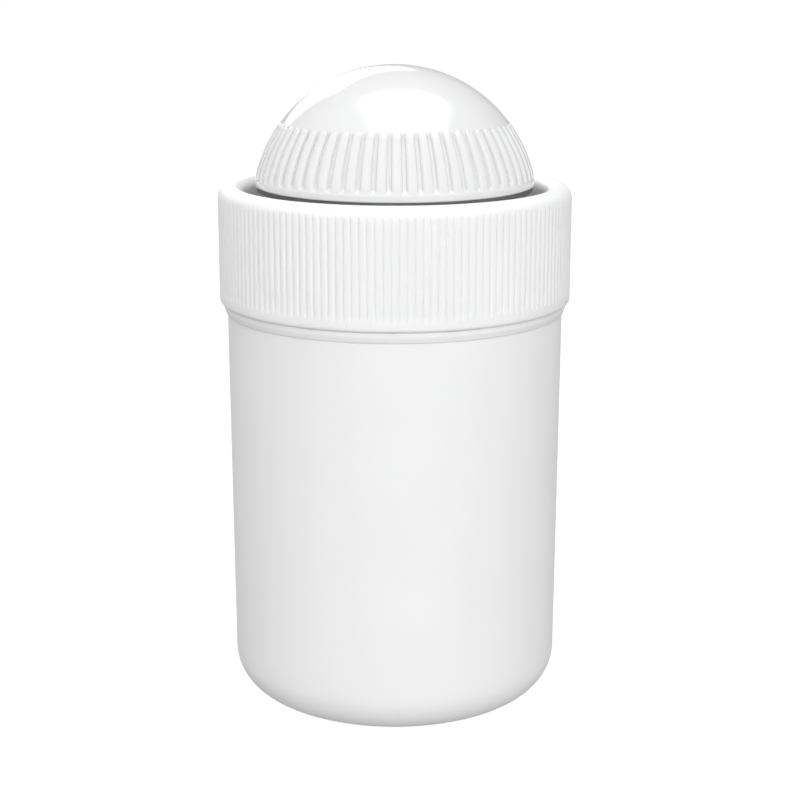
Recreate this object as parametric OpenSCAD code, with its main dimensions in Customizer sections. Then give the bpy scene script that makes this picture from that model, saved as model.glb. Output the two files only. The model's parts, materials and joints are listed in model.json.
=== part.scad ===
// Hand-twisted pill crusher: a screw press in a screw-on lid, over a jar.
// The base of the jar is at z = 0 and the axis of every thread is the Z axis.

/* [Jar] */
// Outer radius of the jar just above its rounded edge
jar_r_low = 27.15; // [26:0.05:27.3]
// Outer radius of the jar at its shoulder
jar_r_top = 27.5; // [27.3:0.1:27.8]
// Height of the shoulder, where the seal lies
jar_h = 65; // [62:0.1:65.8]
// Radius of the rounded edge at the bottom
jar_edge = 6.9; // [5:0.1:9]
// Wall thickness of the jar
jar_wall = 2.2; // [1.6:0.1:2.6]
// Outer radius of the neck, at the root of its thread
neck_r = 24.95; // [24.8:0.05:25]
// Inner radius of the neck
neck_bore_r = 23; // [22.8:0.1:23.2]

/* [Collar] */
// Outer radius of the collar over its ribs
collar_r = 28.73; // [28.4:0.01:29.2]
// Height of the collar's lower edge
collar_z = 66.74; // [66.6:0.01:67.2]
// Height of the collar's rim
rim_z = 85.7; // [85:0.1:87]
// Radius of the recess that the knob sinks into
recess_r = 24.6; // [24.5:0.05:25.2]
// Number of grip ribs round the collar
collar_ribs = 148; // [80:2:160]
// Depth of the grooves between the collar's ribs
collar_groove = 0.3; // [0.1:0.05:0.5]

/* [Knob] */
// Radius of the dome
dome_r = 23.15; // [22.6:0.05:23.4]
// Height of the dome's centre
dome_z = 81.6; // [81:0.1:82]
// Height of the knob's lower edge
knob_z = 85.5; // [85.4:0.1:86]
// Radius of the knob's plain flange
flange_r = 22.62; // [22.5:0.01:23.2]
// Number of grip ribs round the dome
dome_ribs = 58; // [40:2:70]
// Depth of the grooves between the dome's ribs
dome_groove = 0.35; // [0.2:0.05:0.5]
// Height at which the dome's ribs end
dome_rib_top = 95.6; // [93:0.1:97]

/* [Press] */
// Lead of the press screw, in two starts
press_lead = 6; // [5:0.5:7]
// Radius of the press screw at the root of its thread
screw_r = 6.4; // [6.2:0.1:6.6]
// Radius of the presser
foot_r = 17.3; // [17:0.1:17.4]
// Inner radius of the crushing chamber
chamber_r = 18; // [17.8:0.1:18.2]

/* [Hidden] */

// Colours
white = [0.95, 0.95, 0.94];
soft_white = [0.9, 0.9, 0.89];
natural = [0.86, 0.86, 0.82];
steel = [0.7, 0.71, 0.73];
brass = [0.8, 0.65, 0.35];
charcoal = [0.13, 0.13, 0.14];

round_fn = 96;
small_fn = 32;
cut = 0.01;          // overshoot of cutting shapes
run = 0.05;          // radial clearance of a running fit
part_gap = 0.3;      // clearance between parts that move past each other
seat_gap = 0.15;     // clearance of faces that close on each other
root_sink = 0.3;     // depth that a thread rib is sunk into its wall
tooth_base = 1.4;    // width of a thread rib at its base
tooth_tip = 0.9;     // width of a thread rib at its tip
thread_pitch = 3;    // distance from rib to rib on the collar's and the press screw's threads

// Jar and its neck
lip_z = 74.3;
jar_floor = 2.6;
jar_bore_r = jar_r_low - jar_wall;
foot_ring_r = jar_r_low - jar_edge;
push_up = 1;
jar_lead = 12;
jar_starts = 4;
neck_crest_r = neck_r + 1;
neck_thread_z = jar_h + 3.2;
neck_thread_h = 4.6;
seal_r = 28.03;
seal_top = collar_z - 0.2;

// Lid core
flange_low = 75.1;
deck_z = 76.7;
core_r = 25.2;
spigot_r = 19.4;
spigot_bore_r = 17.4;
spigot_z = 63;
spigot_crest_r = spigot_r + 0.9;
spigot_lead = 8;
spigot_starts = 2;
spigot_thread_z = 64.2;
spigot_thread_h = 7.4;
sleeve_r = 12.4;
nut_body_r = 10.4;
nut_flange_r = 15.6;
nut_flange_z = 61;
nut_bore_r = screw_r + 1.3;
nut_screw_r = 13.2;
nut_screw_count = 3;

// Collar
lip_low = deck_z + seat_gap;
lip_top = 78.3;
lip_bore_r = 24.2;
collar_bore_r = neck_crest_r + 0.35;
collar_crest_r = neck_r + 0.45;
retainer_z = lip_z + seat_gap;
retainer_h = 0.5;
retainer_bore_r = 24.6;
retainer_r = 26.7;
rib_low = 69;
rib_high = 84.1;
rim_round = 2;
rim_inner_round = 2;

// Knob
flange_h = 1.2;
pad_r = 22.4;
pad_h = 0.75;
base_r = 20.8;
base_z = knob_z + 0.1;
base_h = 2.2;
dome_bore_r = dome_r - 2;
hub_r = 9;
hub_top = 95;
hex_r = 5.8;
dome_screw_r = 17;
dome_boss_r = 2.6;
dome_screw_count = 3;

// Press screw and presser
thread_low = 57.5;
thread_high = 85.4;
journal_r = 3.6;
journal_z = 50.8;
screw_crest_r = screw_r + 1;
foot_top = 56.7;
foot_deck = 53;
foot_low = 48.3;
foot_hub_r = 8;
counterbore_r = 6;
counterbore_z = 50.9;
plate_h = 1.2;
foot_screw_r = 11;
tooth_h = 0.6;
stroke_down = 8;

// Chamber
chamber_low = 34.3;
chamber_top = 74.2;
chamber_mouth_r = 22.2;
chamber_wall_r = 20.4;
chamber_bore_r = spigot_crest_r + 0.3;
chamber_crest_r = spigot_r + 0.35;
chamber_seat_z = 62.6;
chamber_floor = foot_low - plate_h - tooth_h - stroke_down - 0.4 - tooth_h - 1;
chamber_flutes = 36;

// Points of an arc from angle a to angle b round a centre
function arc(c, r, a, b, n = 8) = [for (i = [0:n]) c + r * [cos(a + (b - a) * i / n), sin(a + (b - a) * i / n)]];

// A ring of copies
module ring(count, radius) {
    for (i = [0:count - 1]) rotate(360 * i / count) translate([radius, 0, 0]) children();
}

// A round bar or ring from z = low to z = high
module tube(outer, inner, low, high) {
    translate([0, 0, low]) difference() {
        cylinder(r = outer, h = high - low, $fn = round_fn);
        if (inner > 0) translate([0, 0, -cut]) cylinder(r = inner, h = high - low + 2 * cut, $fn = round_fn);
    }
}

// One start of a right-hand thread: a rib whose tip sinks into the wall at both ends
module thread_start(r_wall, r_tip, low, height, lead, phase, per_turn) {
    turns = height / lead;
    n = ceil(turns * per_turn);
    side = r_tip > r_wall ? 1 : -1;
    r_base = r_wall - side * root_sink;
    points = [for (i = [0:n]) let (
            a = phase + 360 * turns * i / n,
            z = low + height * i / n,
            grow = min(1, 0.15 + i / 3, 0.15 + (n - i) / 3),
            r = r_base + (r_tip - r_base) * grow)
        each [[r_base * cos(a), r_base * sin(a), z - tooth_base / 2],
            [r * cos(a), r * sin(a), z - tooth_tip / 2],
            [r * cos(a), r * sin(a), z + tooth_tip / 2],
            [r_base * cos(a), r_base * sin(a), z + tooth_base / 2]]];
    walls = [for (i = [0:n - 1], k = [0:3]) let (
            p = 4 * i + k,
            q = 4 * i + (k + 1) % 4)
        each [[p, q, q + 4], [p, q + 4, p + 4]]];
    ends = [[0, 2, 1], [0, 3, 2], [4 * n, 4 * n + 1, 4 * n + 2], [4 * n, 4 * n + 2, 4 * n + 3]];
    faces = concat(walls, ends);
    polyhedron(points, side > 0 ? faces : [for (f = faces) [f[2], f[1], f[0]]], convexity = 6);
}

// All the starts of a thread
module thread(r_wall, r_tip, low, height, lead, starts, phase = 0, per_turn = 40) {
    for (i = [0:starts - 1]) thread_start(r_wall, r_tip, low, height, lead, phase + 360 * i / starts, per_turn);
}

// Outline of a ribbed ring
module ribbed_outline(crest, groove, count) {
    pitch = 360 / count;
    polygon([for (i = [0:count - 1]) each [
        for (k = [[-0.42, groove], [-0.22, crest], [0.22, crest], [0.42, groove]])
            k[1] * [cos(pitch * (i + k[0])), sin(pitch * (i + k[0]))]]]);
}

// A pan-head screw with its head at z = 0 and its shank upwards
module screw_up(head_r, head_h, shank_r, length) {
    difference() {
        translate([0, 0, -head_h]) cylinder(r = head_r, h = head_h, $fn = small_fn);
        translate([0, 0, -head_h - cut]) cylinder(r = head_r * 0.45, h = head_h * 0.6, $fn = 6);
    }
    cylinder(r = shank_r, h = length, $fn = small_fn);
}

// Container with a rounded bottom edge, a shoulder and a threaded neck
module jar() {
    in_edge = jar_edge - jar_wall;
    neck_low = jar_h - 3;
    color(white) {
        rotate_extrude($fn = round_fn) polygon(concat(
            [[0, push_up], [foot_ring_r - 3, push_up], [foot_ring_r - 2, 0]],
            arc([jar_r_low - jar_edge, jar_edge], jar_edge, -90, 0),
            [[jar_r_top, jar_h], [neck_r, jar_h], [neck_r, lip_z - 0.5], [neck_r - 0.5, lip_z]],
            [[neck_bore_r + 0.4, lip_z], [neck_bore_r, lip_z - 0.4], [neck_bore_r, jar_h - 1]],
            [[jar_bore_r, neck_low - 2]],
            arc([jar_bore_r - in_edge, jar_floor + push_up + in_edge], in_edge, 0, -90),
            [[0, jar_floor + push_up]]));
        thread(neck_r, neck_crest_r, neck_thread_z, neck_thread_h, jar_lead, jar_starts);
    }
}

// Soft ring on the jar's shoulder, under the collar's edge
module shoulder_seal() {
    edge = 0.4;
    color(soft_white) rotate_extrude($fn = round_fn) polygon(concat(
        [[neck_r + 0.1, jar_h], [seal_r - edge, jar_h]],
        arc([seal_r - edge, jar_h + edge], edge, -90, 0, 4),
        arc([seal_r - edge, seal_top - edge], edge, 0, 90, 4),
        [[neck_r + 0.1, seal_top]]));
}

// Ribbed union ring: its lip presses the lid core on the jar
module collar() {
    color(white) {
        difference() {
            union() {
                rotate_extrude($fn = round_fn) polygon(concat(
                    [[collar_bore_r, collar_z], [collar_r - 0.5, collar_z], [collar_r - 0.05, collar_z + 0.5]],
                    [[collar_r - 0.05, rib_low], [collar_r - collar_groove, rib_low + 0.3]],
                    [[collar_r - collar_groove, rib_high - 0.3], [collar_r - 0.05, rib_high]],
                    arc([collar_r - rim_round, rim_z - rim_round], rim_round, 5, 90),
                    arc([recess_r + rim_inner_round, rim_z - rim_inner_round], rim_inner_round, 90, 180, 4),
                    [[recess_r, lip_top], [lip_bore_r, lip_top], [lip_bore_r, lip_low], [collar_bore_r, lip_low]]));
                difference() {
                    translate([0, 0, rib_low]) linear_extrude(rib_high - rib_low)
                        ribbed_outline(collar_r, collar_r - collar_groove - 0.1, collar_ribs);
                    tube(collar_r - 1, 0, rib_low - 1, rib_high + 1);
                }
            }
            tube(retainer_r + 0.1, 0, retainer_z - 0.1, retainer_z + retainer_h + 0.1);
        }
        thread(collar_bore_r, collar_crest_r, neck_thread_z, neck_thread_h, jar_lead, jar_starts,
            360 * thread_pitch / 2 / jar_lead);
    }
}

// Snap ring in a groove of the collar, under the core's flange
module core_retainer() {
    color(steel) difference() {
        tube(retainer_r, retainer_bore_r, retainer_z, retainer_z + retainer_h);
        translate([0, -2, retainer_z - 1]) cube([retainer_r + 1, 4, retainer_h + 2]);
    }
}

// Insert of the lid: deck, flange, threaded spigot and a sleeve for the nut
module lid_core() {
    color(soft_white) {
        difference() {
            union() {
                tube(core_r, nut_body_r + run, flange_low, deck_z);
                tube(spigot_r, spigot_bore_r, spigot_z, flange_low + cut);
                tube(sleeve_r, nut_body_r + run, spigot_z, flange_low + cut);
                for (i = [0:5]) rotate(60 * i + 30) translate([sleeve_r - 0.3, -0.9, spigot_z])
                    cube([spigot_bore_r - sleeve_r + 0.6, 1.8, flange_low - spigot_z + cut]);
                ring(nut_screw_count, nut_screw_r) translate([0, 0, spigot_z])
                    cylinder(r = 2.2, h = flange_low - spigot_z + cut, $fn = small_fn);
            }
            tube(nut_body_r + run, 0, spigot_z - 1, deck_z + 1);
            ring(nut_screw_count, nut_screw_r) translate([0, 0, spigot_z - cut])
                cylinder(r = 1.05, h = 8.5, $fn = small_fn);
        }
        thread(spigot_r, spigot_crest_r, spigot_thread_z, spigot_thread_h, spigot_lead, spigot_starts);
    }
}

// Flat seal between the core's flange and the jar's mouth
module mouth_gasket() {
    color(natural) tube(24.3, neck_bore_r + 0.1, retainer_z, flange_low);
}

// Threaded bush with a flange that takes the crushing load
module press_nut() {
    color(brass) {
        difference() {
            union() {
                tube(nut_body_r, 0, spigot_z, deck_z);
                tube(nut_flange_r, 0, nut_flange_z, spigot_z);
            }
            tube(nut_bore_r, 0, nut_flange_z - 1, deck_z + 1);
            ring(nut_screw_count, nut_screw_r) translate([0, 0, nut_flange_z - cut]) {
                cylinder(r = 1.1, h = 3, $fn = small_fn);
                cylinder(r = 2.1, h = 1.2, $fn = small_fn);
            }
        }
        thread(nut_bore_r, screw_r + 0.35, nut_flange_z + 1.2, deck_z - nut_flange_z - 2.4, press_lead, 2,
            360 * (nut_flange_z + 1.2 - thread_low - 1 + thread_pitch / 2) / press_lead, 24);
    }
}

// Screws that hold the nut in the core, from below
module nut_screws() {
    color(steel) ring(nut_screw_count, nut_screw_r) translate([0, 0, nut_flange_z + 1.15]) screw_up(1.9, 1, 1, 8);
}

// Glossy dome with grip ribs above a plain flange
module dome_shell() {
    pitch = 360 / dome_ribs;
    rib_z = knob_z + flange_h - cut;
    color(white) difference() {
        union() {
            tube(flange_r, 0, knob_z, knob_z + flange_h);
            intersection() {
                translate([0, 0, dome_z]) sphere(r = dome_r - dome_groove, $fn = round_fn);
                tube(dome_r, 0, knob_z, dome_rib_top);
            }
            intersection() {
                translate([0, 0, dome_z]) sphere(r = dome_r, $fn = round_fn);
                union() {
                    tube(dome_r, 0, dome_rib_top, dome_z + dome_r + 1);
                    translate([0, 0, rib_z]) linear_extrude(dome_rib_top + cut - rib_z)
                        polygon([for (i = [0:dome_ribs - 1]) each [
                            for (k = [[-0.4, 12], [-0.32, dome_r + 1], [0.32, dome_r + 1], [0.4, 12]])
                                k[1] * [cos(pitch * (i + k[0])), sin(pitch * (i + k[0]))]]]);
                }
            }
        }
        translate([0, 0, dome_z]) intersection() {
            sphere(r = dome_bore_r, $fn = round_fn);
            difference() {
                cylinder(r = dome_r, h = dome_r, $fn = round_fn);
                ring(dome_screw_count, dome_screw_r) translate([0, 0, base_z + base_h - dome_z])
                    cylinder(r = dome_boss_r, h = dome_r, $fn = small_fn);
            }
        }
        tube(base_r + run, 0, knob_z - 1, base_z + base_h);
        ring(dome_screw_count, dome_screw_r) translate([0, 0, base_z]) cylinder(r = 1.05, h = 7, $fn = small_fn);
    }
}

// Disc that closes the dome and is keyed to the spindle
module knob_base() {
    color(soft_white) difference() {
        union() {
            tube(base_r, 0, base_z, base_z + base_h);
            tube(hub_r, 0, base_z, hub_top);
            for (i = [0:5]) rotate(60 * i + 30) translate([hub_r - 0.3, -0.8, base_z + base_h - cut])
                cube([6.5, 1.6, 3.4]);
        }
        translate([0, 0, base_z - 1]) cylinder(r = hex_r + run, h = hub_top - base_z - 1, $fn = 6);
        tube(2.2, 0, hub_top - 3, hub_top + 1);
        ring(dome_screw_count, dome_screw_r) translate([0, 0, base_z - cut]) {
            cylinder(r = 1.1, h = 4, $fn = small_fn);
            cylinder(r = 2.1, h = 1.2, $fn = small_fn);
        }
    }
}

// Dark stop pad under the knob, which lands on the deck at the end of the stroke
module knob_pad() {
    color(charcoal) tube(pad_r, screw_crest_r + part_gap, knob_z - pad_h, knob_z);
}

// Screws that hold the dome, from below
module dome_screws() {
    color(steel) ring(dome_screw_count, dome_screw_r) translate([0, 0, base_z + 1.15]) screw_up(1.9, 1, 1, 5.5);
}

// Bolt and washer that clamp the knob base on the spindle
module knob_bolt() {
    color(steel) difference() {
        union() {
            tube(3.4, 0, hub_top + 0.6, hub_top + 2.8);
            tube(1.95, 0, hub_top - 9, hub_top + 0.7);
        }
        translate([0, 0, hub_top + 1.4]) cylinder(r = 1.7, h = 2, $fn = 6);
    }
}

module knob_washer() {
    color(steel) tube(4.6, 2.1, hub_top, hub_top + 0.6);
}

// Press screw: hexagonal head, two-start thread and a journal for the presser
module spindle() {
    color(steel) {
        difference() {
            union() {
                tube(journal_r, 0, journal_z, thread_low + cut);
                tube(screw_r, 0, thread_low, base_z);
                translate([0, 0, base_z - cut]) cylinder(r = hex_r, h = hub_top - base_z - 2.4 + cut, $fn = 6);
            }
            tube(2, 0, hub_top - 10, hub_top + 1);
            tube(1.45, 0, journal_z - 1, journal_z + 7.2);
        }
        thread(screw_r, screw_crest_r, thread_low + 1, thread_high - thread_low - 2, press_lead, 2, 0, 24);
    }
}

// Washer and screw that hold the presser on the spindle
module retaining_washer() {
    color(steel) tube(5.2, 1.6, journal_z - 0.8, journal_z);
}

module foot_screw() {
    color(steel) translate([0, 0, journal_z - 0.8]) screw_up(2.8, 1.3, 1.4, 7.5);
}

// Washer between the screw's shoulder and the presser
module thrust_washer() {
    color(brass) tube(6.2, journal_r + run, foot_top, thread_low - run);
}

// Presser that swivels on the spindle
module press_foot() {
    color(soft_white) difference() {
        union() {
            tube(foot_r, 0, foot_low, foot_deck);
            tube(foot_hub_r, 0, foot_low, foot_top);
            for (i = [0:5]) rotate(60 * i) translate([foot_hub_r - 0.3, -0.9, foot_deck - cut])
                cube([6, 1.8, 2]);
        }
        tube(journal_r + run, 0, foot_low - 1, foot_top + 1);
        tube(counterbore_r, 0, foot_low - 1, counterbore_z);
        tube(foot_r + 1, foot_r - 1, foot_low + 1.6, foot_low + 3.2);
        ring(3, foot_screw_r) translate([0, 0, foot_low - cut]) cylinder(r = 0.85, h = 3.6, $fn = small_fn);
    }
}

// Steel face of the presser, with ridges across it
module foot_plate() {
    low = foot_low - plate_h;
    color(steel) difference() {
        union() {
            tube(foot_r - 0.3, 0, low, foot_low);
            intersection() {
                tube(foot_r - 1.5, 0, low - tooth_h, low + 0.1);
                ridges(low - tooth_h, tooth_h + 0.1, 0);
            }
        }
        ring(3, foot_screw_r) translate([0, 0, low - tooth_h - 1]) {
            cylinder(r = 0.9, h = 4, $fn = small_fn);
            cylinder(r = 1.75, h = tooth_h + 1.8, $fn = small_fn);
        }
    }
}

// Rows of straight ridges
module ridges(low, height, turn) {
    rotate(turn) for (i = [-7:7]) translate([-foot_r, 2.2 * i - 0.6, low]) cube([2 * foot_r, 1.2, height]);
}

module foot_plate_screws() {
    color(steel) ring(3, foot_screw_r) translate([0, 0, foot_low - plate_h + 0.75]) screw_up(1.6, 0.7, 0.8, 3.8);
}

// Soft ring in the presser's groove
module foot_ring() {
    color(natural) tube(chamber_r - part_gap, foot_r - 0.95, foot_low + 1.65, foot_low + 3.15);
}

// Flat seal between the chamber's edge and the lid core
module chamber_gasket() {
    color(natural) tube(chamber_mouth_r, chamber_bore_r + 0.2, chamber_top + 0.1, chamber_top + 0.7);
}

// Crushing cup, screwed on the spigot of the lid core
module chamber() {
    pitch = 360 / chamber_flutes;
    color(soft_white) {
        difference() {
            rotate_extrude($fn = round_fn) polygon([[0, chamber_low], [chamber_wall_r - 1.5, chamber_low],
                [chamber_wall_r, chamber_low + 1.5], [chamber_wall_r, 58], [chamber_mouth_r, 60.5],
                [chamber_mouth_r, chamber_top], [chamber_bore_r, chamber_top], [chamber_bore_r, chamber_seat_z],
                [chamber_r, chamber_seat_z - 2], [chamber_r, chamber_floor], [0, chamber_floor]]);
            for (i = [0:chamber_flutes - 1]) rotate(pitch * i)
                translate([chamber_mouth_r + 0.35, 0, 62]) cylinder(r = 0.8, h = 10, $fn = 8);
            tube(1.55, 0, chamber_low - 1, chamber_floor + 1);
            tube(3.1, 0, chamber_low - 1, chamber_low + 0.8);
        }
        thread(chamber_bore_r, chamber_crest_r, spigot_thread_z, spigot_thread_h, spigot_lead, spigot_starts,
            360 / spigot_starts / 2);
    }
}

// Ridged steel floor of the chamber
module chamber_plate() {
    color(steel) difference() {
        union() {
            tube(chamber_r - 0.1, 0, chamber_floor, chamber_floor + 1);
            intersection() {
                tube(chamber_r - 2, 0, chamber_floor + 0.9, chamber_floor + 1 + tooth_h);
                ridges(chamber_floor + 0.9, tooth_h + 0.1, 90);
            }
        }
        tube(1.55, 0, chamber_floor - 1, chamber_floor + 3);
        tube(3.1, 0, chamber_floor + 0.8, chamber_floor + 3);
    }
}

// Rivet that holds the plate on the chamber's floor
module plate_rivet() {
    color(steel) {
        tube(1.5, 0, chamber_low + 0.1, chamber_floor + 1.2);
        tube(3, 0, chamber_low + 0.1, chamber_low + 0.8);
        tube(3, 0, chamber_floor + 0.8, chamber_floor + 1.3);
    }
}

jar();
shoulder_seal();
collar();
core_retainer();
lid_core();
mouth_gasket();
press_nut();
nut_screws();
dome_shell();
knob_base();
knob_pad();
dome_screws();
knob_bolt();
knob_washer();
spindle();
retaining_washer();
foot_screw();
thrust_washer();
press_foot();
foot_plate();
foot_plate_screws();
foot_ring();
chamber_gasket();
chamber();
chamber_plate();
plate_rivet();
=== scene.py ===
import json
import math

import bpy
import numpy as np
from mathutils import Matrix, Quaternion, Vector


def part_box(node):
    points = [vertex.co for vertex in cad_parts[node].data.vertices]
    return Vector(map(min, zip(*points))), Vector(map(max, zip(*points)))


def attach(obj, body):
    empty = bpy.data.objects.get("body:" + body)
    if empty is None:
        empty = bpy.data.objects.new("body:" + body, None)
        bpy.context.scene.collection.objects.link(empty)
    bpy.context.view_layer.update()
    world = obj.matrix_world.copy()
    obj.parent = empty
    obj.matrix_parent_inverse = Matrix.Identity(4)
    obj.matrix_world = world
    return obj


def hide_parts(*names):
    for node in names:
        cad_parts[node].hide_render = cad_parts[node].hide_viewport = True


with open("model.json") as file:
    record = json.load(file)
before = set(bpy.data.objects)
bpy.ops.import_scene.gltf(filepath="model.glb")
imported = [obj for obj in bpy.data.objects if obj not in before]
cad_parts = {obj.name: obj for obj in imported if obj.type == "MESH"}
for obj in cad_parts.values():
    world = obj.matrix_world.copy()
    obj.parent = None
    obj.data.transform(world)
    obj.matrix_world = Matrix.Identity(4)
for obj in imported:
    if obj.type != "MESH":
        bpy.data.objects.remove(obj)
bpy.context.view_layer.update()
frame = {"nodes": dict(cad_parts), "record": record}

MM = 0.001
TAU = 2 * math.pi


# ---------------------------------------------------------------- places, read from the frame
def low(node):
    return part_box(node)[0].z


def high(node):
    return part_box(node)[1].z


def radius(node):
    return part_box(node)[1].x


# ---------------------------------------------------------------- camera
AIM_HEIGHT = 0.0493
CAMERA_DISTANCE = 0.3027
CAMERA_ELEVATION = math.radians(14.16)
LENS = 81.29
SHIFT_X = 0.0065


def make_camera():
    data = bpy.data.cameras.new("camera")
    camera = bpy.data.objects.new("camera", data)
    bpy.context.scene.collection.objects.link(camera)
    aim = Vector((0, 0, AIM_HEIGHT))
    offset = Vector((0, -math.cos(CAMERA_ELEVATION), math.sin(CAMERA_ELEVATION)))
    camera.location = aim + CAMERA_DISTANCE * offset
    camera.rotation_euler = (-offset).to_track_quat("-Z", "Y").to_euler()
    data.lens = LENS
    data.sensor_width = 36
    data.shift_x = SHIFT_X
    data.clip_start = 0.01
    bpy.context.scene.camera = camera


# ---------------------------------------------------------------- outlines: (radius, height), anticlockwise
SIDE_SHARE = 0.98  # share of a side that the roundings at its two ends may take together


def rounded(corners, closed=True, steps=6):
    """The outline with its corners rounded. A corner is (radius, height) or (radius, height, rounding)."""
    points = []
    n = len(corners)
    places = [np.array(corner[:2], float) for corner in corners]
    roundings = [corner[2] if len(corner) > 2 else 0 for corner in corners]
    for i, (here, rounding) in enumerate(zip(places, roundings)):
        if rounding <= 0 or (not closed and i in (0, n - 1)):
            points.append(here)
            continue
        following = (i + 1) % n
        before, after = places[i - 1] - here, places[following] - here
        a, b = before / np.linalg.norm(before), after / np.linalg.norm(after)
        half = math.acos(np.clip(a @ b, -1, 1)) / 2
        room_before = SIDE_SHARE * np.linalg.norm(before) * rounding / (rounding + roundings[i - 1])
        room_after = SIDE_SHARE * np.linalg.norm(after) * rounding / (rounding + roundings[following])
        reach = min(rounding / math.tan(half), room_before, room_after)
        r = reach * math.tan(half)
        centre = here + (a + b) / np.linalg.norm(a + b) * r / math.sin(half)
        start, end = here + a * reach - centre, here + b * reach - centre
        sweep = math.atan2(start[0] * end[1] - start[1] * end[0], start @ end)
        for k in range(steps + 1):
            t = sweep * k / steps
            points.append(centre + np.array([start[0] * math.cos(t) - start[1] * math.sin(t),
                                             start[0] * math.sin(t) + start[1] * math.cos(t)]))
    return np.array(points)


def clip_to(a, b, zone):
    """The part of the side from a to b that lies in the zone, as two fractions of its length."""
    t0, t1 = 0.0, 1.0
    for axis, (lowest, highest) in enumerate(((zone[0], zone[1]), (zone[2], zone[3]))):
        d = b[axis] - a[axis]
        if abs(d) < 1e-12:
            if not lowest <= a[axis] <= highest:
                return None
            continue
        u, v = sorted(((lowest - a[axis]) / d, (highest - a[axis]) / d))
        t0, t1 = max(t0, u), min(t1, v)
    return [t0, t1] if t1 - t0 > 1e-9 else None


def refined(outline, step, zone=None, closed=True):
    """Adds points so that no side is longer than step. A zone (r low, r high, z low, z high) limits where."""
    points = []
    n = len(outline)
    for i in range(n if closed else n - 1):
        a, b = outline[i], outline[(i + 1) % n]
        cuts = [0.0]
        inside = [0.0, 1.0] if zone is None else clip_to(a, b, zone)
        if inside:
            t0, t1 = inside
            count = max(1, math.ceil((t1 - t0) * np.linalg.norm(b - a) / step))
            cuts += [t0 + (t1 - t0) * k / count for k in range(count + 1)]
        cuts = sorted(set(round(c, 9) for c in cuts if c < 1 - 1e-9))
        points += [a + (b - a) * c for c in cuts]
    if not closed:
        points.append(outline[-1])
    return np.array(points)


def outward(outline, closed=True):
    """The direction away from the material at each point of an outline."""
    ahead, behind = np.roll(outline, -1, 0), np.roll(outline, 1, 0)
    if not closed:
        ahead[-1], behind[0] = outline[-1], outline[0]
    d = ahead - behind
    normal = np.stack([d[:, 1], -d[:, 0]], 1)
    return normal / np.maximum(np.linalg.norm(normal, axis=1), 1e-12)[:, None]


def arc(r, centre, start, end, count):
    """Points of a circle round a centre on the axis, from one angle to another."""
    return [(r * math.cos(a), centre + r * math.sin(a)) for a in np.linspace(start, end, count)]


def ring_groove(start, end, face, depth, slope=0.3 * MM, edge=0.3 * MM, root=0.1 * MM):
    """Corners of a shallow round groove in a face that looks down, from its inner radius to its outer one."""
    return [(start, face, edge), (start + slope, face + depth, root), (end - slope, face + depth, root),
            (end, face, edge)]


# ---------------------------------------------------------------- meshes
def new_piece(name, vertices, faces, body, material, smooth_angle=35):
    mesh = bpy.data.meshes.new(name)
    mesh.from_pydata([tuple(v) for v in vertices], [], faces)
    mesh.validate()
    piece = bpy.data.objects.new(name, mesh)
    bpy.context.scene.collection.objects.link(piece)
    mesh.materials.append(material)
    mesh.polygons.foreach_set("use_smooth", [True] * len(mesh.polygons))
    mesh.set_sharp_from_angle(angle=math.radians(smooth_angle))
    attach(piece, body)
    return piece


def even_angles(columns):
    return TAU * np.arange(columns) / columns


def ribbed_angles(ribs, across):
    """Angles of columns that crowd at a rib's flanks. across runs from 0, the crest, to 1, the groove."""
    half = TAU / ribs / 2
    offsets = [-half * a for a in reversed(across[1:])] + [half * a for a in across[:-1]]
    return np.array([TAU * k / ribs + offset for k in range(ribs) for offset in offsets])


def turned_mesh(outline, angles, closed=True, shape=None):
    """An outline turned round the Z axis: vertices and faces. shape(point, angles) moves along the normal."""
    normal = outward(outline, closed)
    columns = len(angles)
    vertices, rings = [], []
    for i, (r, z) in enumerate(outline):
        if r < 1e-6:
            rings.append([len(vertices)])
            vertices.append((0, 0, z))
            continue
        push = np.zeros(columns) if shape is None else shape((r, z), angles)
        radii, heights = r + push * normal[i, 0], z + push * normal[i, 1]
        rings.append(list(range(len(vertices), len(vertices) + columns)))
        vertices += list(np.stack([radii * np.cos(angles), radii * np.sin(angles), heights], 1))
    faces = []
    n = len(rings)
    for i in range(n if closed else n - 1):
        a, b = rings[i], rings[(i + 1) % n]
        if len(a) == 1 and len(b) == 1:
            continue
        for j in range(columns):
            k = (j + 1) % columns
            if len(a) == 1:
                faces.append((a[0], b[k], b[j]))
            elif len(b) == 1:
                faces.append((a[j], a[k], b[0]))
            else:
                faces.append((a[j], a[k], b[k], b[j]))
    return vertices, faces


def smooth_step(x):
    x = np.clip(x, 0, 1)
    return x * x * (3 - 2 * x)


def off_crest(angles, ribs):
    """How far each angle is from the crest of its rib, from 0 at the crest to 1 in the groove."""
    return np.abs(2 * ((angles * ribs / TAU + 0.5) % 1 - 0.5))


# ---------------------------------------------------------------- threads
ZONE_MARGIN = 0.1 * MM  # how far a zone reaches past the wall that it is for
RIB_HALF = 0.27  # the next three are shares of the thread's pitch
RIB_FLANK = 0.12
RUN_OUT = 0.35


def wall_zone(wall_r, lowest, highest):
    """The zone round an upright wall, between two heights."""
    return wall_r - ZONE_MARGIN, wall_r + ZONE_MARGIN, lowest, highest


def thread_push(point, angles, zone, lead, starts, height, phase=0):
    """How far a right-hand thread's rib stands out at a point. A zone is (r low, r high, z low, z high)."""
    r, z = point
    if not (zone[0] <= r <= zone[1] and zone[2] <= z <= zone[3]):
        return np.zeros_like(angles)
    pitch = lead / starts
    along = (z / pitch - starts * (angles + phase) / TAU) % 1
    rib = smooth_step((RIB_HALF - np.abs(along - 0.5)) / RIB_FLANK)
    ends = smooth_step((z - zone[2]) / (RUN_OUT * pitch)) * smooth_step((zone[3] - z) / (RUN_OUT * pitch))
    return height * rib * ends


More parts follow.
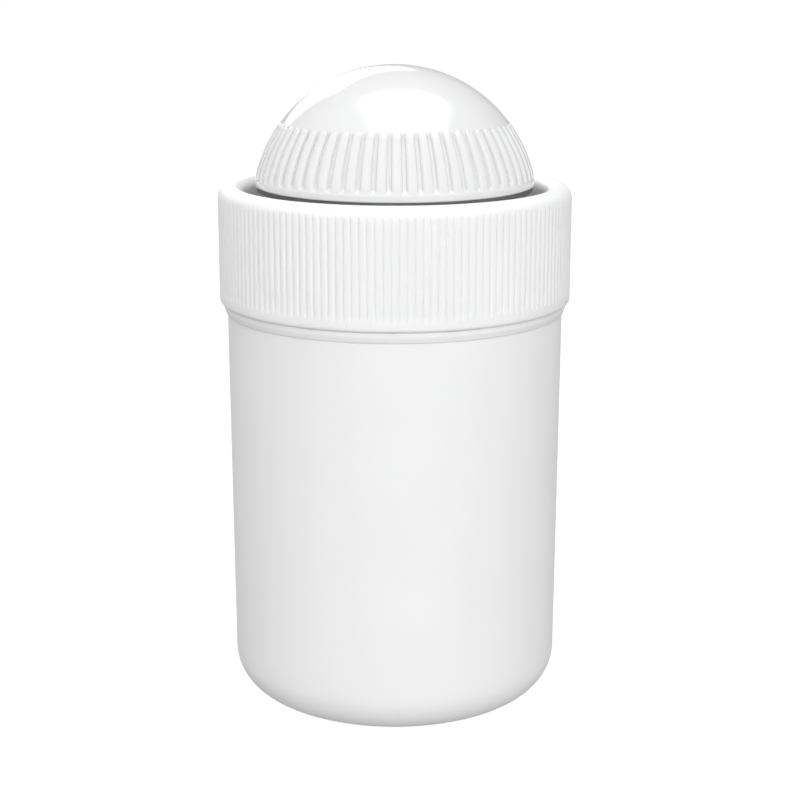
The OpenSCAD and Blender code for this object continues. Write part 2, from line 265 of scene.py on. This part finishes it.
def thread_phase(height_at_zero, lead, starts):
    """The phase that puts a thread's rib at a given height at angle 0."""
    return TAU * (height_at_zero * starts / lead - 0.5) / starts


# ---------------------------------------------------------------- materials
PLASTIC_IOR = 1.49
COAT_ROUGHNESS = 0.07
MILKY_DEPTH = 1.5 * MM


def tree_of(name):
    material = bpy.data.materials.new(name)
    material.use_nodes = True
    nodes = material.node_tree.nodes
    return material, nodes, material.node_tree.links, nodes["Principled BSDF"]


def noise(nodes, links, vector, scale, detail):
    node = nodes.new("ShaderNodeTexNoise")
    node.inputs["Scale"].default_value = scale
    node.inputs["Detail"].default_value = detail
    links.new(vector, node.inputs["Vector"])
    return node.outputs["Fac"]


def to_range(nodes, links, value, low_out, high_out, low_in=0.3, high_in=0.7):
    node = nodes.new("ShaderNodeMapRange")
    node.inputs["From Min"].default_value = low_in
    node.inputs["From Max"].default_value = high_in
    node.inputs["To Min"].default_value = low_out
    node.inputs["To Max"].default_value = high_out
    links.new(value, node.inputs["Value"])
    return node.outputs["Result"]


def stretched(nodes, links, place, scale):
    node = nodes.new("ShaderNodeMapping")
    node.inputs["Scale"].default_value = scale
    links.new(place, node.inputs["Vector"])
    return node.outputs["Vector"]


def blend_colours(nodes, links, factor, dark, bright):
    node = nodes.new("ShaderNodeMix")
    node.data_type = "RGBA"
    node.inputs[6].default_value = (*dark, 1)
    node.inputs[7].default_value = (*bright, 1)
    links.new(factor, node.inputs[0])
    return node.outputs[2]


def add_bump(nodes, links, height, strength, distance):
    node = nodes.new("ShaderNodeBump")
    node.inputs["Strength"].default_value = strength
    node.inputs["Distance"].default_value = distance
    links.new(height, node.inputs["Height"])
    return node.outputs["Normal"]


def calculated(nodes, links, operation, first, second=0.0):
    """The result of a Math node. first is a socket, and second is a socket or a number."""
    node = nodes.new("ShaderNodeMath")
    node.operation = operation
    links.new(first, node.inputs[0])
    if isinstance(second, float):
        node.inputs[1].default_value = second
    else:
        links.new(second, node.inputs[1])
    return node.outputs[0]


def plastic(name, colour, rough, spread, grain, grain_size, tint=0.02, coat=0.0, milky=0.0):
    """Moulded plastic: faint tone drift, uneven gloss, hairline rubs and a fine surface grain."""
    material, nodes, links, shader = tree_of(name)
    place = nodes.new("ShaderNodeTexCoord").outputs["Object"]
    drift = to_range(nodes, links, noise(nodes, links, place, scale=70, detail=4), 0, 1)
    dark = tuple(c * (1 - tint) for c in colour)
    links.new(blend_colours(nodes, links, drift, dark, colour), shader.inputs["Base Color"])
    upright = stretched(nodes, links, place, (1, 1, 0.08))
    hairs = noise(nodes, links, upright, scale=1400, detail=2)
    rubs = to_range(nodes, links, hairs, 0, spread, low_in=0.58, high_in=0.75)
    clouds = noise(nodes, links, place, scale=160, detail=3)
    uneven = to_range(nodes, links, clouds, rough - spread / 2, rough + spread / 2)
    links.new(calculated(nodes, links, "ADD", rubs, uneven), shader.inputs["Roughness"])
    grains = noise(nodes, links, place, scale=1 / grain_size, detail=2)
    links.new(add_bump(nodes, links, grains, grain, 0.1 * grain_size), shader.inputs["Normal"])
    shader.inputs["IOR"].default_value = PLASTIC_IOR
    shader.inputs["Subsurface Weight"].default_value = milky
    shader.inputs["Subsurface Radius"].default_value = (1, 1, 1)
    shader.inputs["Subsurface Scale"].default_value = MILKY_DEPTH
    shader.inputs["Coat Weight"].default_value = coat
    shader.inputs["Coat Roughness"].default_value = COAT_ROUGHNESS
    return material


def rubber(name, colour, rough, speck):
    """Soft silicone: matt, with tiny moulding specks and a mottle that is brighter by the factor speck."""
    material, nodes, links, shader = tree_of(name)
    place = nodes.new("ShaderNodeTexCoord").outputs["Object"]
    mottle = to_range(nodes, links, noise(nodes, links, place, scale=220, detail=5), 0, 1)
    bright = tuple(min(1, c * speck) for c in colour)
    links.new(blend_colours(nodes, links, mottle, colour, bright), shader.inputs["Base Color"])
    clouds = noise(nodes, links, place, scale=900, detail=3)
    links.new(to_range(nodes, links, clouds, rough - 0.06, rough + 0.06), shader.inputs["Roughness"])
    specks = noise(nodes, links, place, scale=5000, detail=2)
    links.new(add_bump(nodes, links, specks, 0.25, 0.02 * MM), shader.inputs["Normal"])
    return material


def metal(name, colour, rough, straight=False):
    """Turned or ground metal: fine tool lines, either round the Z axis or straight, with cloudy gloss."""
    material, nodes, links, shader = tree_of(name)
    place = nodes.new("ShaderNodeTexCoord").outputs["Object"]
    if straight:
        line_place = stretched(nodes, links, place, (0.03, 1, 1))
    else:
        parts = nodes.new("ShaderNodeSeparateXYZ")
        links.new(place, parts.inputs[0])
        flat = nodes.new("ShaderNodeCombineXYZ")
        links.new(parts.outputs["X"], flat.inputs["X"])
        links.new(parts.outputs["Y"], flat.inputs["Y"])
        reach = nodes.new("ShaderNodeVectorMath")
        reach.operation = "LENGTH"
        links.new(flat.outputs[0], reach.inputs[0])
        lines = nodes.new("ShaderNodeCombineXYZ")
        links.new(reach.outputs["Value"], lines.inputs["X"])
        links.new(parts.outputs["Z"], lines.inputs["Z"])
        line_place = lines.outputs[0]
    tool = noise(nodes, links, line_place, scale=9000, detail=2)
    clouds = to_range(nodes, links, noise(nodes, links, place, scale=180, detail=3), 0, 1)
    dark = tuple(c * 0.86 for c in colour)
    links.new(blend_colours(nodes, links, clouds, dark, colour), shader.inputs["Base Color"])
    links.new(to_range(nodes, links, tool, rough - 0.08, rough + 0.1), shader.inputs["Roughness"])
    links.new(add_bump(nodes, links, tool, 0.35, 0.01 * MM), shader.inputs["Normal"])
    shader.inputs["Metallic"].default_value = 1.0
    return material


JAR_WHITE = plastic("jar_white", (0.86, 0.862, 0.865), rough=0.4, spread=0.1, grain=0.25,
                    grain_size=0.22 * MM)
COLLAR_WHITE = plastic("collar_white", (0.885, 0.887, 0.89), rough=0.36, spread=0.1, grain=0.2,
                       grain_size=0.2 * MM, milky=0.4)
DOME_WHITE = plastic("dome_white", (0.775, 0.777, 0.78), rough=0.12, spread=0.04, grain=0.04,
                     grain_size=0.6 * MM, tint=0.012, coat=1.0)
INNER_WHITE = plastic("inner_white", (0.82, 0.82, 0.805), rough=0.45, spread=0.12, grain=0.3,
                      grain_size=0.25 * MM, tint=0.03)
SEAL_WHITE = rubber("seal_white", (0.85, 0.85, 0.847), rough=0.45, speck=1.03)
# The stop pad's near-black colour is painted shade: it stands in for the shadow in the gap under the knob's
# flange.
PAD_DARK_AS_SHADE = rubber("pad_dark", (0.1, 0.1, 0.104), rough=0.6, speck=1.5)
STEEL = metal("steel", (0.62, 0.62, 0.635), rough=0.26)
GROUND_STEEL = metal("ground_steel", (0.6, 0.6, 0.615), rough=0.3, straight=True)
BRASS = metal("brass", (0.83, 0.62, 0.3), rough=0.24)

BY_SLOT = {"jar_white": JAR_WHITE, "collar_white": COLLAR_WHITE, "dome_white": DOME_WHITE,
           "inner_white": INNER_WHITE, "seal_white": SEAL_WHITE, "pad_dark": PAD_DARK_AS_SHADE,
           "steel": STEEL, "brass": BRASS}
GROUND_NODES = ("foot_plate", "chamber_plate")


def finish_cad_nodes():
    """Gives every carried-over CAD node the procedural material of its slot."""
    slots = {s["node"]: s["material_slot"] for s in frame["record"]["subparts"]}
    for node, piece in frame["nodes"].items():
        material = GROUND_STEEL if node in GROUND_NODES else BY_SLOT[slots[node]]
        piece.data.materials.clear()
        piece.data.materials.append(material)


# ---------------------------------------------------------------- jar
NECK_ROOT = 24.95 * MM
NECK_BORE = 23.0 * MM
NECK_THREAD_HEIGHT = 1.0 * MM
JAR_LEAD = 12 * MM
JAR_STARTS = 4
JAR_WALL = 2.2 * MM
JAR_EDGE = 6.9 * MM
JAR_TAPER = 0.35 * MM
JAR_FLOOR = 3.6 * MM
PUSH_UP = 1.0 * MM  # how far the underside's centre is raised
GATE_DEPTH = 0.5 * MM  # depth of the moulding dimple in its middle


def make_jar():
    top = high("jar")
    shoulder = low("shoulder_seal")
    r_top = radius("jar")
    r_low = r_top - JAR_TAPER
    inner, foot_r = r_low - JAR_WALL, r_low - JAR_EDGE
    thread = wall_zone(NECK_ROOT, shoulder + 2.4 * MM, top - 1.3 * MM)
    dimple = [(0, PUSH_UP + GATE_DEPTH), (1.6 * MM, PUSH_UP + GATE_DEPTH, 0.2 * MM),
              (2.4 * MM, PUSH_UP, 0.4 * MM)]
    groove = ring_groove(11 * MM, 12.5 * MM, PUSH_UP, 0.25 * MM)
    foot = [(foot_r - 3 * MM, PUSH_UP, 0.8 * MM), (foot_r - 2 * MM, 0, 0.6 * MM), (r_low, 0, JAR_EDGE)]
    neck = [(r_top, shoulder, 0.2 * MM), (NECK_ROOT, shoulder, 0.3 * MM),
            (NECK_ROOT, top, 0.45 * MM), (NECK_BORE, top, 0.45 * MM)]
    inside = [(NECK_BORE, shoulder - 0.6 * MM, 1.5 * MM), (inner, shoulder - 4.6 * MM, 2 * MM),
              (inner, JAR_FLOOR, JAR_EDGE - JAR_WALL), (0, JAR_FLOOR)]
    outline = rounded(dimple + groove + foot + neck + inside, closed=False, steps=12)
    outline = refined(outline, 4 * MM, closed=False)
    outline = refined(outline, 0.12 * MM, thread, closed=False)

    def shape(point, angles):
        return thread_push(point, angles, thread, JAR_LEAD, JAR_STARTS, NECK_THREAD_HEIGHT)

    vertices, faces = turned_mesh(outline, even_angles(288), closed=False, shape=shape)
    piece = new_piece("jar_shell", vertices, faces, "jar_body", JAR_WHITE)
    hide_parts("jar")


def make_shoulder_seal():
    bottom, top = low("shoulder_seal"), low("collar") - 0.05 * MM
    outer, inner = radius("shoulder_seal"), NECK_ROOT + 0.1 * MM
    edge = 0.15 * MM
    outline = rounded([(inner, bottom, edge), (outer - 0.3 * MM, bottom, edge),
                       (outer, bottom + 0.9 * MM, 0.8 * MM), (outer, top, edge), (inner, top, edge)], steps=8)
    vertices, faces = turned_mesh(outline, even_angles(256))
    piece = new_piece("shoulder_seal_ring", vertices, faces, "jar_body", SEAL_WHITE)
    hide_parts("shoulder_seal")


# ---------------------------------------------------------------- collar
COLLAR_RIBS = 148
COLLAR_GROOVE = 0.3 * MM
COLLAR_EDGE = 0.6 * MM
RIM_ROUND = 2.0 * MM
RIM_INNER_ROUND = 1.9 * MM
RECESS_R = 24.6 * MM
LIP_R = 24.2 * MM  # the lip lies on the lid core
COLLAR_BORE = 26.3 * MM
COLLAR_THREAD_HEIGHT = 0.9 * MM
SLOT_PLAY = 0.1 * MM  # round the snap ring in its slot


def make_collar():
    bottom, rim = low("collar"), high("collar")
    outer = radius("collar")
    rib_low, rib_high = bottom + 1.2 * MM, rim - 1.4 * MM
    lip_low, lip_high = high("lid_core") + 0.15 * MM, high("lid_core") + 1.6 * MM
    slot_low, slot_high = low("core_retainer") - SLOT_PLAY, high("core_retainer") + SLOT_PLAY
    slot_r = radius("core_retainer") + SLOT_PLAY
    ribbed_r = outer - 1.2 * MM
    thread = wall_zone(COLLAR_BORE, bottom + 0.7 * MM, slot_low - 1.0 * MM)
    outline = rounded([
        (COLLAR_BORE, bottom, 0.3 * MM), (outer, bottom, COLLAR_EDGE), (outer, rim, RIM_ROUND),
        (RECESS_R, rim, RIM_INNER_ROUND), (RECESS_R, lip_high, 0.3 * MM), (LIP_R, lip_high, 0.15 * MM),
        (LIP_R, lip_low, 0.25 * MM), (COLLAR_BORE, lip_low, 0.1 * MM), (COLLAR_BORE, slot_high),
        (slot_r, slot_high), (slot_r, slot_low), (COLLAR_BORE, slot_low)], steps=8)
    outline = refined(outline, 3 * MM)
    outline = refined(outline, 0.2 * MM, wall_zone(outer, rib_low - 0.2 * MM, rib_low + 1.6 * MM))
    outline = refined(outline, 0.25 * MM, (ribbed_r, outer + 0.1 * MM, rib_high - 2 * MM, rib_high + MM))
    outline = refined(outline, 0.16 * MM, thread)

    def shape(point, angles):
        r, z = point
        push = np.zeros_like(angles)
        if r > ribbed_r and rib_low - 0.3 * MM < z < rim:
            across = off_crest(angles, COLLAR_RIBS)
            fade_low = smooth_step((z - rib_low) / (1.4 * MM))
            fade_high = smooth_step((rib_high + 0.5 * MM - z) / (1.3 * MM))
            push -= COLLAR_GROOVE * (0.3 * across ** 2 + 0.7 * across ** 5) * fade_low * fade_high
        if thread[0] <= r <= thread[1]:
            half_pitch = math.pi / JAR_STARTS
            push += thread_push(point, angles, thread, JAR_LEAD, JAR_STARTS, COLLAR_THREAD_HEIGHT,
                                half_pitch)
        return push

    angles = ribbed_angles(COLLAR_RIBS, (0, 0.4, 0.7, 0.88, 1))
    vertices, faces = turned_mesh(outline, angles, shape=shape)
    piece = new_piece("collar_ring", vertices, faces, "collar_body", COLLAR_WHITE, 50)
    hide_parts("collar")


# ---------------------------------------------------------------- dome
DOME_R = 23.12 * MM
DOME_CROWN = 23.15 * MM  # height of the dome's top above its centre
DOME_BORE = 21.15 * MM
DOME_RIBS = 58
RIB_STANDS = 0.1 * MM  # height of a rib above the dome
RIB_GROOVE = 0.6 * MM  # depth of the grooves beside it
RIB_SHARE = 0.75  # a rib's width as a share of the ribs' pitch
RIB_TOP = 10.1 * MM
FLANGE_HEIGHT = 1.2 * MM
DOME_TURN = -0.04  # radians that the ribs are turned as the knob stands


def make_dome():
    bottom, top = low("dome_shell"), high("dome_shell")
    centre = top - DOME_CROWN
    flange = radius("dome_shell")
    ledge = bottom + FLANGE_HEIGHT
    rib_top = bottom + RIB_TOP
    seat_r, seat_z = radius("knob_base") + 0.05 * MM, low("knob_base") + 2.2 * MM
    outer = arc(DOME_R, centre, math.asin((ledge + 0.1 * MM - centre) / DOME_R), math.pi / 2, 90)
    inner = arc(DOME_BORE, centre, math.pi / 2, math.asin((seat_z - centre) / DOME_BORE), 24)
    outline = rounded([(seat_r, bottom, 0.15 * MM), (flange, bottom, 0.25 * MM),
                       (flange, ledge - 0.2 * MM, 0.3 * MM), outer[0], outer[1]], closed=False, steps=5)
    outline = np.concatenate([outline, outer[2:-1], [(0, centre + DOME_R), (0, centre + DOME_BORE)],
                              inner[1:], [(seat_r, seat_z)]])
    outline = refined(outline, 0.16 * MM, (flange - 8 * MM, flange, rib_top - 1.8 * MM, rib_top + 0.4 * MM))
    outline = refined(outline, 0.12 * MM, (flange - 0.6 * MM, flange, ledge - 0.2 * MM, ledge + 1.0 * MM))
    pitch = TAU / DOME_RIBS
    nose_angle = math.asin((rib_top - centre) / DOME_R)

    def shape(point, angles):
        r, z = point
        if z < ledge - 0.1 * MM or math.hypot(r, z - centre) < DOME_R - 0.6 * MM or r < flange - 9 * MM:
            return np.zeros_like(angles)
        half = 0.5 * RIB_SHARE * pitch * r
        across = np.abs(((angles - DOME_TURN) / pitch + 0.5) % 1 - 0.5) * pitch * r / half
        beyond = max(0.0, (math.atan2(z - centre, r) - nose_angle) * DOME_R + 0.9 * half) / half
        away = np.hypot(across, beyond)
        rib = np.clip(1 - away ** 5, 0, 1) ** 0.7
        above = smooth_step((z - ledge) / (0.9 * MM))
        below = smooth_step((rib_top + 0.1 * MM - z) / (1.1 * MM))
        return above * (RIB_STANDS * rib - RIB_GROOVE * (1 - rib) * below)

    angles = ribbed_angles(DOME_RIBS, (0, 0.25, 0.45, 0.55, 0.62, 0.68, 0.72, 0.75, 0.86, 1)) + DOME_TURN
    vertices, faces = turned_mesh(outline, angles, shape=shape)
    piece = new_piece("dome", vertices, faces, "knob_body", DOME_WHITE, 50)
    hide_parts("dome_shell")


# ---------------------------------------------------------------- pieces inside
CHAMBER_R = 18 * MM
CHAMBER_WALL_R = 20.4 * MM
CHAMBER_BORE = 20.6 * MM
CHAMBER_FLUTES = 36
FLUTE_DEPTH = 0.45 * MM
FLUTE_SHARE = 0.45  # a flute's half width as a share of the flutes' half pitch
CHAMBER_LEAD = 8 * MM
CHAMBER_STARTS = 2
CHAMBER_THREAD_HEIGHT = 0.8 * MM
RIVET_R = 1.55 * MM
RIVET_WELL_R = 3.1 * MM
RIVET_WELL_DEPTH = 0.8 * MM
PAD_BORE = 7.7 * MM
PAD_HEIGHT = 0.75 * MM
PAD_GROOVES = 4
GASKET_EDGE = 0.15 * MM
PRESSER_RING_EDGE = 0.4 * MM


def make_chamber():
    bottom, top = low("chamber"), high("chamber")
    mouth, floor = radius("chamber"), low("chamber_plate")
    seat = low("lid_core") - 0.4 * MM
    thread = wall_zone(CHAMBER_BORE, seat + 1.0 * MM, seat + 9.9 * MM)
    phase = thread_phase(low("lid_core") + 3.2 * MM, CHAMBER_LEAD, CHAMBER_STARTS)
    well = [(RIVET_R, bottom + RIVET_WELL_DEPTH), (RIVET_WELL_R, bottom + RIVET_WELL_DEPTH),
            (RIVET_WELL_R, bottom, 0.2 * MM)]
    groove = ring_groove(14.5 * MM, 16.3 * MM, bottom, 0.3 * MM)
    outside = [(CHAMBER_WALL_R, bottom, 2 * MM), (CHAMBER_WALL_R, seat - 4.6 * MM, 1.5 * MM),
               (mouth, seat - 2.1 * MM, 0.8 * MM), (mouth, top, 0.5 * MM)]
    inside = [(CHAMBER_BORE, top, 0.3 * MM), (CHAMBER_BORE, seat, 0.4 * MM),
              (CHAMBER_R, seat - 2 * MM, 0.6 * MM), (CHAMBER_R, floor, 0.2 * MM), (RIVET_R, floor)]
    outline = rounded(well + groove + outside + inside, steps=6)
    outline = refined(outline, 3 * MM)
    outline = refined(outline, 0.16 * MM, thread)
    outline = refined(outline, 0.3 * MM, wall_zone(mouth, seat - 1 * MM, top - 1 * MM))

    def shape(point, angles):
        push = thread_push(point, angles, thread, CHAMBER_LEAD, CHAMBER_STARTS, CHAMBER_THREAD_HEIGHT,
                           phase)
        r, z = point
        if r > mouth - 0.2 * MM:
            across = off_crest(angles, CHAMBER_FLUTES)
            fade_low = smooth_step((z - seat + 0.6 * MM) / (1.2 * MM))
            fade_high = smooth_step((top - 1.4 * MM - z) / (1.2 * MM))
            hollow = np.clip(1 - ((1 - across) / FLUTE_SHARE) ** 2, 0, 1)
            push -= FLUTE_DEPTH * hollow * fade_low * fade_high
        return push

    angles = ribbed_angles(CHAMBER_FLUTES, (0, 0.3, 0.5, 0.6, 0.7, 0.8, 0.9, 1))
    vertices, faces = turned_mesh(outline, angles, shape=shape)
    piece = new_piece("chamber_cup", vertices, faces, "chamber_body", INNER_WHITE)
    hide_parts("chamber")


def make_knob_pad():
    """The stop pad under the knob, with concentric grooves in its lower face. It is a real pad, but its
    near-black colour is painted shade, standing in for the shadow in the gap under the knob's flange.
    """
    outer, top = radius("dome_shell") - 0.22 * MM, low("dome_shell")
    bottom = top - PAD_HEIGHT
    corners = [(PAD_BORE, bottom, 0.2 * MM)]
    for k in range(PAD_GROOVES):
        start = PAD_BORE + (2 + 3.2 * k) * MM
        corners += ring_groove(start, start + 1.0 * MM, bottom, 0.25 * MM,
                               slope=0.2 * MM, edge=0.1 * MM, root=0.05 * MM)
    corners += [(outer, bottom, 0.25 * MM), (outer, top, 0.1 * MM), (PAD_BORE, top, 0.1 * MM)]
    vertices, faces = turned_mesh(rounded(corners, steps=4), even_angles(192))
    piece = new_piece("knob_stop_pad", vertices, faces, "knob_body", PAD_DARK_AS_SHADE)
    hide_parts("knob_pad")


def make_ring(name, node, inner, body, slot, edge):
    """A soft ring with rounded edges in place of a plain one."""
    outer, bottom, top = radius(node), low(node), high(node)
    outline = rounded([(inner, bottom, edge), (outer, bottom, edge), (outer, top, edge), (inner, top, edge)])
    vertices, faces = turned_mesh(outline, even_angles(192))
    piece = new_piece(name, vertices, faces, body, BY_SLOT[slot])
    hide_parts(node)


def make_inner_rings():
    make_ring("mouth_seal_ring", "mouth_gasket", NECK_BORE + 0.1 * MM, "lid_body", "seal_white",
              GASKET_EDGE)
    make_ring("chamber_seal_ring", "chamber_gasket", CHAMBER_BORE + 0.2 * MM, "seal_body", "seal_white",
              GASKET_EDGE)
    make_ring("presser_seal_ring", "foot_ring", CHAMBER_R - 1.65 * MM, "presser_body", "seal_white",
              PRESSER_RING_EDGE)


# ---------------------------------------------------------------- floor and light
WORLD_ABOVE = 0.66
WORLD_BELOW = 0.42
STAGE_GLOW = 0.93
FLOOR_HALF = 12.0
FLOOR_LEVEL = -0.02 * MM
BACKDROP_R = 4.0
BACKDROP_HEIGHT = 6.0
BACKDROP_SIDES = 96
LIGHT_AIM_HEIGHT = 0.06


def stage_material():
    material, _, _, shader = tree_of("floor_white")
    shader.inputs["Base Color"].default_value = (0.12, 0.12, 0.12, 1)
    shader.inputs["Roughness"].default_value = 0.9
    shader.inputs["Specular IOR Level"].default_value = 0.0
    shader.inputs["Emission Color"].default_value = (1, 1, 1, 1)
    shader.inputs["Emission Strength"].default_value = STAGE_GLOW
    return material


def stage_object(name, vertices, faces, material):
    """A floor or backdrop that only the camera sees, so it lights and mirrors nothing."""
    mesh = bpy.data.meshes.new(name)
    mesh.from_pydata(vertices, [], faces)
    stage = bpy.data.objects.new(name, mesh)
    bpy.context.scene.collection.objects.link(stage)
    mesh.materials.append(material)
    stage.visible_diffuse = False
    stage.visible_glossy = False
    return stage


def make_floor(material):
    signs = ((-1, -1), (1, -1), (1, 1), (-1, 1))
    corners = [(x * FLOOR_HALF, y * FLOOR_HALF, FLOOR_LEVEL) for x, y in signs]
    stage_object("floor", corners, [(0, 1, 2, 3)], material)


def make_backdrop(material):
    """A pale round wall outside the camera and the lights, which hides the world's grey in low views."""
    n = BACKDROP_SIDES
    corners = [(BACKDROP_R * math.cos(a), BACKDROP_R * math.sin(a)) for a in even_angles(n)]
    vertices = [(x, y, z) for z in (-0.01, BACKDROP_HEIGHT) for x, y in corners]
    faces = [(k, (k + 1) % n, (k + 1) % n + n, k + n) for k in range(n)]
    stage_object("backdrop", vertices, faces, material).visible_shadow = False


def make_world():
    """Even studio light, weaker from below the horizon than from above."""
    world = bpy.data.worlds.new("studio")
    world.use_nodes = True
    nodes, links = world.node_tree.nodes, world.node_tree.links
    parts = nodes.new("ShaderNodeSeparateXYZ")
    links.new(nodes.new("ShaderNodeTexCoord").outputs["Generated"], parts.inputs[0])
    strength = to_range(nodes, links, parts.outputs["Z"], WORLD_BELOW, WORLD_ABOVE, -0.5, 0.5)
    links.new(strength, nodes["Background"].inputs["Strength"])
    nodes["Background"].inputs["Color"].default_value = (1, 1, 1, 1)
    bpy.context.scene.world = world


def fade_edges(data, share):
    """Lets a light's strength fall off over the outer share of its half width."""
    data.use_nodes = True
    nodes, links = data.node_tree.nodes, data.node_tree.links
    place = nodes.new("ShaderNodeNewGeometry").outputs["Parametric"]
    parts = nodes.new("ShaderNodeSeparateXYZ")
    links.new(place, parts.inputs[0])
    fades = []
    for axis in ("X", "Y"):
        centred = calculated(nodes, links, "SUBTRACT", parts.outputs[axis], 0.5)
        away = calculated(nodes, links, "ABSOLUTE", centred)
        fades.append(to_range(nodes, links, away, 1, 0, 0.5 * (1 - share), 0.5))
    links.new(calculated(nodes, links, "MULTIPLY", *fades), nodes["Emission"].inputs["Strength"])


def area_light(name, azimuth, elevation, distance, size, radiance, diffuse=True, gloss=True, roll=0, soft=0):
    """A rectangular light. Azimuth 0 is the camera's side, positive to the right; angles are in degrees."""
    data = bpy.data.lights.new(name, "AREA")
    data.shape = "RECTANGLE"
    data.size, data.size_y = size
    data.energy = radiance * math.pi * size[0] * size[1]
    light = bpy.data.objects.new(name, data)
    bpy.context.scene.collection.objects.link(light)
    a, e = math.radians(azimuth), math.radians(elevation)
    towards = Vector((math.sin(a) * math.cos(e), -math.cos(a) * math.cos(e), math.sin(e)))
    light.visible_diffuse = diffuse
    light.visible_glossy = gloss
    light.location = Vector((0, 0, LIGHT_AIM_HEIGHT)) + distance * towards
    turn = Quaternion((0, 0, 1), math.radians(roll))
    light.rotation_euler = ((-towards).to_track_quat("-Z", "Y") @ turn).to_euler()
    if soft:
        fade_edges(data, soft)


def make_lights():
    area_light("overhead", azimuth=97, elevation=83, distance=1.0, size=(0.98, 1.04), radiance=2.4,
               diffuse=False, soft=0.4)
    area_light("overhead_fill", azimuth=0, elevation=90, distance=1.0, size=(1.25, 1.1), radiance=0.25,
               gloss=False)
    area_light("back_left", azimuth=-163, elevation=25, distance=1.0, size=(0.62, 0.5), radiance=2.6,
               roll=25, soft=0.15)
    area_light("high_left", azimuth=-105, elevation=56, distance=1.0, size=(0.6, 0.6), radiance=1.6,
               gloss=False)
    area_light("back_right", azimuth=150, elevation=25, distance=1.0, size=(0.8, 0.62), radiance=1.1,
               gloss=False)
    area_light("front_fill", azimuth=8, elevation=22, distance=1.2, size=(1.7, 0.9), radiance=2.3,
               gloss=False)


make_camera()
glowing_white = stage_material()
make_floor(glowing_white)
make_backdrop(glowing_white)
make_world()
make_lights()
bpy.context.scene.view_settings.view_transform = "Standard"

finish_cad_nodes()
make_jar()
make_shoulder_seal()
make_collar()
make_dome()
make_chamber()
make_knob_pad()
make_inner_rings()
